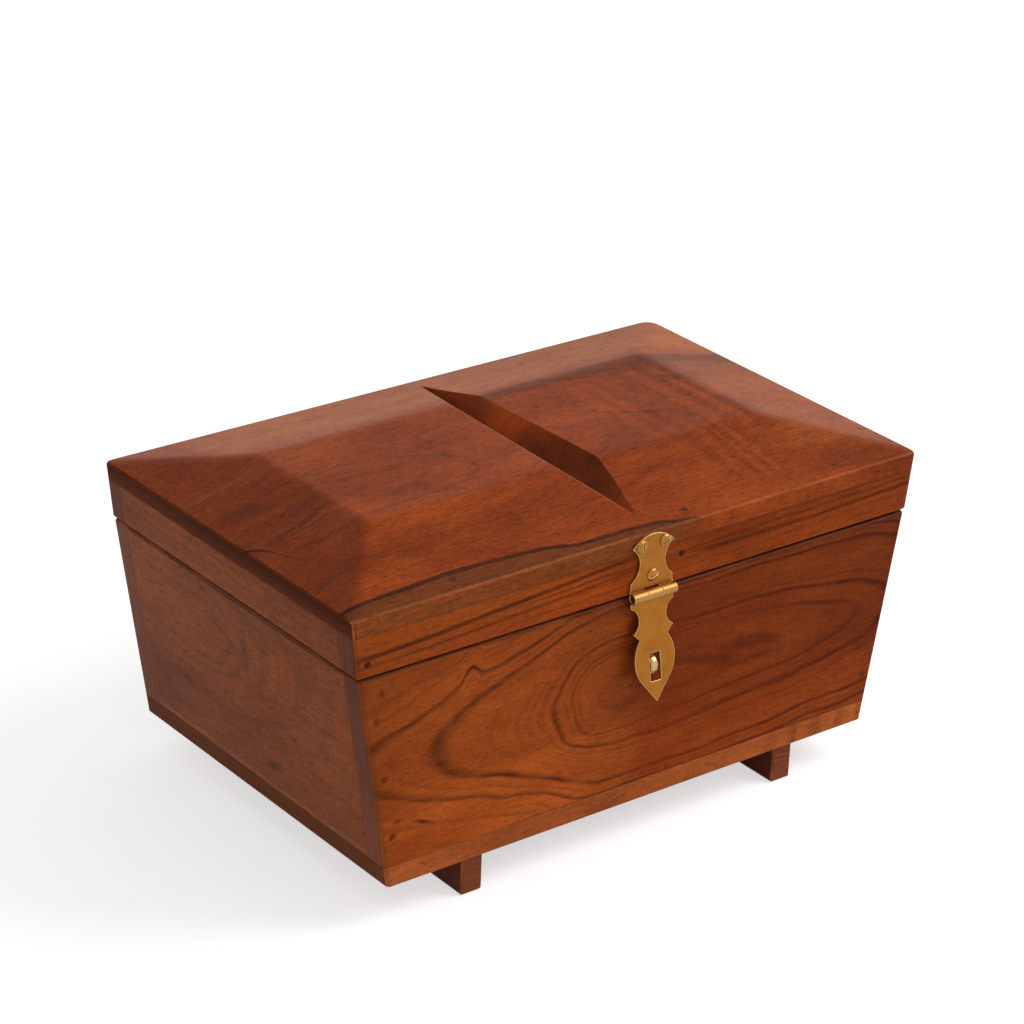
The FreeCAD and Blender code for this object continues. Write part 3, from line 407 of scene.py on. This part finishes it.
def brass(name, tones, seed, rough, knuckle_highlight=0.0):
    """Satin metal, as brushed or turned: bright, body and dull are its tones, burnish a painted highlight on
    its knuckles.

    Brushing gives fine upright lines and a broad soft highlight. The eye also sees cloudy tarnish, edges
    painted brighter as a highlight, partly rubbed, and dark dirt in the corners.
    """
    material = bpy.data.materials.new(name)
    node = emptied(material)
    bright, body, dull = [linear(code) for code in tones]
    mm = node("VectorMath", node("TexCoord").outputs["Object"], MM_PER_METRE, operation="SCALE")
    placed = node("VectorMath", mm, [seed * step for step in METAL_SEED_STEP], operation="ADD")

    stain = node("TexNoise", placed, TARNISH_PER_MM, 4.0, 0.62)
    colour = node("Mix", node("MapRange", stain, 0.42, 0.68, 0.0, 0.55), body, dull, **COLOUR)
    # Edges painted brighter, partly a painted highlight and partly rubbed, and a painted highlight on the
    # knuckles round the pin.
    rounded = node("Bevel", {"Radius": METAL_ROUND}, samples=6)
    turn = node("VectorMath", rounded, node("NewGeometry").outputs["True Normal"], operation="DOT_PRODUCT")
    rubbed_and_lit = node("MapRange", turn, 0.995, 0.9, 0.0, 1.0)
    apart = node("Math", node("SeparateXYZ", mm).outputs["Z"], PIN_LEVEL, operation="SUBTRACT")
    apart = node("Math", apart, operation="ABSOLUTE")
    rubbed_and_lit = node("Math", rubbed_and_lit, node("MapRange", apart, *KNUCKLE, knuckle_highlight, 0.0), operation="MAXIMUM")
    colour = node("Mix", rubbed_and_lit, colour, bright, **COLOUR)
    open_sky = node("AmbientOcclusion", {"Distance": HOLLOW_DEPTH}, samples=8, only_local=True)
    dirt = node("MapRange", open_sky.outputs["AO"], 0.75, 0.35, 0.0, 0.85)
    colour = node("Mix", dirt, colour, linear(METAL_DIRT), **COLOUR)

    upright = (1 / BRUSH_WIDTH, 1 / BRUSH_WIDTH, 1 / BRUSH_LENGTH)
    brush = node("TexNoise", node("VectorMath", placed, upright, operation="MULTIPLY"), 1.0, 2.0)
    bump = node("Bump", {"Strength": 0.15, "Distance": 0.0001, "Height": brush, "Normal": rounded})
    grit = node("MapRange", brush, 0.3, 0.7, rough - BRUSH_GRIT, rough + BRUSH_GRIT)
    shader = node("BsdfPrincipled", {"Base Color": colour, "Metallic": 1.0, "Roughness": grit,
                                     "Normal": bump})
    node("OutputMaterial", {"Surface": shader})
    return material


finish_with(brass("bright_brass", ("f0d8b4", "c49c66", "98703c"), seed=2.0, rough=0.3), "staple")


# Hinges: two small butts at the back, leaves of sheet brass rolled round steel pins, let into the edges of
# the body and the lid and held by countersunk screws. Sheet looks satin, turned screws brighter, steel cool.

sheet_brass = brass("satin_brass", ("dfb682", "9f6725", "8a531b"), seed=1.0, rough=0.46, knuckle_highlight=0.2)
finish_with(sheet_brass, "left_hinge_body_leaf", "right_hinge_body_leaf", "left_hinge_lid_leaf",
            "right_hinge_lid_leaf")
screw_brass = brass("turned_brass", ("f0c888", "a56c28", "7a4a1c"), seed=3.0, rough=0.34)
finish_with(screw_brass, "hinge_body_screws", "hinge_lid_screws")
pin_steel = brass("steel_pin", ("b8b4ac", "8e8a84", "6a655e"), seed=4.0, rough=0.35)
finish_with(pin_steel, "left_hinge_pin", "right_hinge_pin")


# Lid rails: four narrow boards of acacia that stand as a leaning frame under the top panel, the long ones
# butted over the short ones and pegged. Straight grain gives long dark lines in front and plain brown sides.

RAIL_TONES = ("903e0d", "792f06", "5e2204", "301306", "5a2c1c")
RAIL_BOW = ((-160, 4), (160, 22))
RAIL_VEINS = ((62, 0.8, 0.3), (67, 1.0, 0.4), (71, 1.0, 0.4), (74.5, 1.2, 0.5), (78, 0.8, 0.3))
RAIL_STREAKS = (
    # Browner wood at the left end, under the panel's heartwood, and the joint with the panel.
    (((-200, 128), (-110, 131), (-50, 138)), 8.0, 6.0, "7a4019", 0.4),
    (((-190, 138.4), (190, 138.5)), 0.2, 0.7, "2a130b", 0.3),
    # Three long dark lines, two that climb from the left and one that dips at the right.
    (((-165, 127.5), (-110, 130), (-60, 133.5), (0, 137.5)), 0.4, 1.1, "361607", 0.8),
    (((-165, 124), (-100, 126), (-50, 128.5), (10, 133)), 0.3, 0.9, "361607", 0.5),
    (((20, 133), (70, 130.5), (120, 131.5), (165, 134)), 0.4, 1.0, "361607", 0.6))
RAIL_SHADE = ((-155, 1.07), (-20, 1.0), (60, 0.88), (155, 0.82))
finish_with(hardwood("acacia_rail", "XZY", RAIL_TONES, seed=7.0, heart=60.0, bow=RAIL_BOW, veins=RAIL_VEINS,
                     reach=120.0, tilt=-0.03, wander=2.0, streaks=RAIL_STREAKS, shade=RAIL_SHADE, pale_edges=0.4),
            "lid_front_rail", "lid_back_rail")

SIDE_RAIL_BOW = ((-100, 4), (100, 16))
SIDE_RAIL_VEINS = ((66, 1.0, 0.4), (70, 1.0, 0.4), (75, 1.0, 0.3))
finish_with(hardwood("acacia_side_rail", "YZX", END_TONES, seed=8.0, heart=60.0, bow=SIDE_RAIL_BOW,
                     veins=SIDE_RAIL_VEINS, reach=120.0, wander=2.0, figure=1.4,
                     fringe=((119, 0.92), (138.5, 0.95))),
            "lid_left_rail", "lid_right_rail")


# Top panel: one thick plank of acacia, pegged down on the rails and carved by hand as a low hip with a
# V-groove across it. It is curly at the right, and grey brown heartwood runs along its front edge.

TOP_TONES = ("964214", "80330e", "662709", "331408", "461c0a")
TOP_BOW = ((-155, 2), (-110, 4), (-75, 8), (-45, 16), (-20, 30), (40, 46), (155, 70))
TOP_VEINS = ((6, 2.0, 0.2), (13, 1.6, 0.22), (22, 2.0, 0.18), (31, 1.5, 0.15), (48, 1.2, 0.3),
             (53, 1.0, 0.25))
FIELD_CURL = ((30, 1), (46, 1), (52, 1.18), (56, 0.96), (60, 1.17), (64, 0.9), (70, 1), (76, 0.92), (82, 1),
              (87, 1.18), (92, 0.78), (97, 1.2), (101, 0.8), (108, 0.86), (116, 1), (130, 1))
SLOPE_CURL = ((45, 1), (57, 1), (63, 0.79), (69, 1.08), (75, 0.8), (77.5, 1.06), (80, 0.8), (83.5, 1.1),
              (87, 0.82), (93, 1.05), (100, 1), (112, 0.95), (120, 1))
TOP_EDGE = 146.5                        # level of the panel's upper edge, where the slopes start
HEART_LEAN = 0.25                       # of the heartwood, as it goes down through the panel
HEARTWOOD = 8.0                         # half the width of the heartwood
HEART_BORDER = ((-220, -79.5), (-155, -80.6), (-130, -80), (-100, -78.7), (-60, -79.6), (-41, -82),
                (-33, -83.8), (-10, -83.6), (7, -84.3), (15, -86.6), (23, -88.2), (30, -91), (38, -100))
HEART_MIDDLE = [(x, y - HEARTWOOD - 1.0) for x, y in HEART_BORDER]
TOP_STREAKS = (
    # Heartwood along the front, darker on the slope than on the edge, and darkest at its right end.
    (HEART_MIDDLE, HEARTWOOD, 1.0, "77401c", 0.85),
    (HEART_MIDDLE, HEARTWOOD, 1.0, "3e1c0c", 0.38, (TOP_EDGE + 0.4, TOP_EDGE - 0.1)),
    (((14, -91), (22, -91.2), (34, -92)), 1.6, 1.4, "3a1a0a", 0.4),
    # Its dark border on the slope, and a darker middle.
    ([(x, y - 0.2) for x, y in HEART_BORDER], 0.6, 0.9, "30170d", 0.95, (TOP_EDGE + 0.1, TOP_EDGE - 1.1)),
    (((-95, -89), (-60, -89.5), (-15, -89.2), (12, -88.2), (34, -87)), 3.0, 2.0, "4e2810", 0.2),
    # Paler colour on the back slope and at the right end: painted light, where those slopes catch it.
    (((-125, 84), (0, 80), (200, 82)), 20.0, 16.0, "aa642e", 0.45),
    (((100, 0), (112, 1), (200, 3)), 60.0, 20.0, "aa642e", 0.25),
    # A brown band behind the right field, and a pale line behind the left one.
    (((-6, 34), (12, 39), (40, 40.5), (80, 39), (112, 38), (170, 42)), 3.6, 3.0, "60301a", 0.75),
    (((-170, 36), (-130, 35), (-105, 30), (-80, 24)), 0.4, 1.0, "98511f", 0.4),
    # A drying crack on the left slope, two dark marks beside it, and one scratch on the right field.
    (((-190, 0), (-153.8, -12.4), (-149, -15.5), (-145.5, -21.2), (-143.5, -27), (-136, -45)), 0.9, 1.2,
     "22100a", 0.9),
    (((-150, 12), (-136, 11), (-120, 2)), 2.0, 6.0, "431f10", 0.5),
    (((-150, -16), (-125, -16), (-104, -6)), 0.5, 1.5, "431f10", 0.6),
    (((42, 5), (57, -8), (65, -12), (78, -18)), 0.4, 0.8, "42200f", 0.7))
# Painted light and shade by how far a carved face turns: the slope that faces left darker, the groove's
# shaded wall lighter.
TOP_FACING_LIGHT = ((-1, 0.8), (-0.6, 1.6), (-0.36, 0.85), (-0.22, 0.62), (0, 0.92), (0.22, 1.05), (1, 1))
TOP_DEPTH = ((138.5, 1.5), (142, 1.15), (145, 0.8), (147, 0.75))
TOP_SHADE = ((-155, 1), (40, 1), (80, 0.94), (155, 0.93))
# Brighter towards the back: painted light on the back slope.
TOP_FRINGE = ((-95, 0.98), (-45, 0.98), (0, 0.96), (38, 0.97), (56, 1.05), (95, 1.07))
GROOVE_MIDDLE, GROOVE_HALF, GROOVE_FLOOR = 3.4, 14.5, 148.9
# Painted light and shade on the groove's wall that faces left: light behind, nearly black shade in front.
GROOVE_WALL_LIGHT = ((-80, 0.6), (-62, 0.42), (-48, 0.3), (-20, 0.33), (2, 0.62), (14, 1.5), (26, 2.4), (42, 2.8),
               (60, 3.2), (80, 3))
finish_with(hardwood("acacia_top", "XYZ", TOP_TONES, seed=9.0, heart=-6.0, bow=TOP_BOW, veins=TOP_VEINS,
                     reach=90.0, wander=4.0, streaks=TOP_STREAKS, lean=(HEART_LEAN, TOP_EDGE), figure=1.4,
                     ripples=((FIELD_CURL, -32, 33), (SLOPE_CURL, -74, -38)), facing_light=TOP_FACING_LIGHT,
                     depth=TOP_DEPTH, shade=TOP_SHADE, fringe=TOP_FRINGE,
                     groove=(GROOVE_MIDDLE, GROOVE_HALF, GROOVE_FLOOR, GROOVE_WALL_LIGHT), pale_edges=0.6, dry=0.25),
            "lid_top_panel")


# Hasp: a plate held to the lid's front by three slotted screws, and a flap that hangs on its steel pin.
# Both are cut from the same sheet brass as the hinges, filed to shape, rolled into knuckles and brushed.

finish_with(sheet_brass, "hasp_plate", "hasp_flap")
finish_with(screw_brass, "hasp_plate_screws")
finish_with(pin_steel, "hasp_pin")


# Floor and light: a sweep of white paper in an even white room, with one large soft lamp to the front right.
# The eye, and brass that mirrors them, see paper and room as plain white, and the paper keeps the shadow.

def seen_straight(node):
    """One for what the eye, a mirror or glass looks at, and zero for what only throws light."""
    rays = node("LightPath").outputs
    straight = node("Math", rays["Is Camera Ray"], rays["Is Glossy Ray"], operation="MAXIMUM")
    return node("Math", straight, rays["Is Transmission Ray"], operation="MAXIMUM")


WHITE, PAPER = linear("ffffff"), linear("f4f4f4")
FLOOR_HALF = 6.0               # metres
SHADOW_SHARE = 0.5             # of the white, which the shadow can take away
PAPER_GLOW = 0.6
ROOM_LIGHT = 0.72
LAMP_SIZE, LAMP_POWER = 1.2, 28.0
LAMP_PLACE, LAMP_AIM = (1.3, -0.9, 1.5), (0, 0, 0.08)

floor_mesh = bpy.data.meshes.new("floor")
corners = ((-1, -1), (1, -1), (1, 1), (-1, 1))
floor_mesh.from_pydata([(x * FLOOR_HALF, y * FLOOR_HALF, 0) for x, y in corners], [], [(0, 1, 2, 3)])
floor = bpy.data.objects.new("floor", floor_mesh)
bpy.context.scene.collection.objects.link(floor)
white = bpy.data.materials.new("white_sweep")
node = emptied(white)
paper = node("BsdfDiffuse", {"Color": PAPER})
shadow = node("BsdfDiffuse", {"Color": (SHADOW_SHARE, SHADOW_SHARE, SHADOW_SHARE, 1.0)})
glow = node("Emission", {"Color": WHITE, "Strength": PAPER_GLOW})
sweep = node("MixShader", seen_straight(node), paper, node("AddShader", shadow, glow))
node("OutputMaterial", {"Surface": sweep})
floor_mesh.materials.append(white)

world = bpy.data.worlds.new("white_room")
bpy.context.scene.world = world
node = emptied(world)
level = node("MapRange", seen_straight(node), 0.0, 1.0, ROOM_LIGHT, 1.0)
node("OutputWorld", {"Surface": node("Background", {"Color": WHITE, "Strength": level})})

lamp = bpy.data.lights.new("key", "AREA")
lamp.shape = "DISK"
lamp.size = LAMP_SIZE
lamp.energy = LAMP_POWER
key = bpy.data.objects.new("key", lamp)
bpy.context.scene.collection.objects.link(key)
key.location = LAMP_PLACE
key.rotation_euler = (Vector(LAMP_AIM) - key.location).to_track_quat("-Z", "Y").to_euler()


# Camera: a long lens a little above the box and to its left, held two degrees off level. It sees the front,
# the left end and the carved top.

AZIMUTH, ELEVATION, ROLL = math.radians(-38.25), math.radians(24.9), math.radians(2.15)
DISTANCE, TARGET = 1.5132, Vector((-0.0009, 0.00379, 0.1198))
LENS, SENSOR = 120.83, 36.0    # mm

back = Vector((math.sin(AZIMUTH) * math.cos(ELEVATION), -math.cos(AZIMUTH) * math.cos(ELEVATION),
               math.sin(ELEVATION)))
level_right = Vector((math.cos(AZIMUTH), math.sin(AZIMUTH), 0))
level_up = back.cross(level_right)
right = math.cos(ROLL) * level_right + math.sin(ROLL) * level_up
up = math.cos(ROLL) * level_up - math.sin(ROLL) * level_right
turned = Matrix((right, up, back)).transposed().to_4x4()
camera_data = bpy.data.cameras.new("camera")
camera_data.lens = LENS
camera_data.sensor_width = SENSOR
camera = bpy.data.objects.new("camera", camera_data)
bpy.context.scene.collection.objects.link(camera)
camera.matrix_world = Matrix.Translation(TARGET + back * DISTANCE) @ turned
bpy.context.scene.camera = camera
bpy.context.scene.view_settings.view_transform = "Standard"
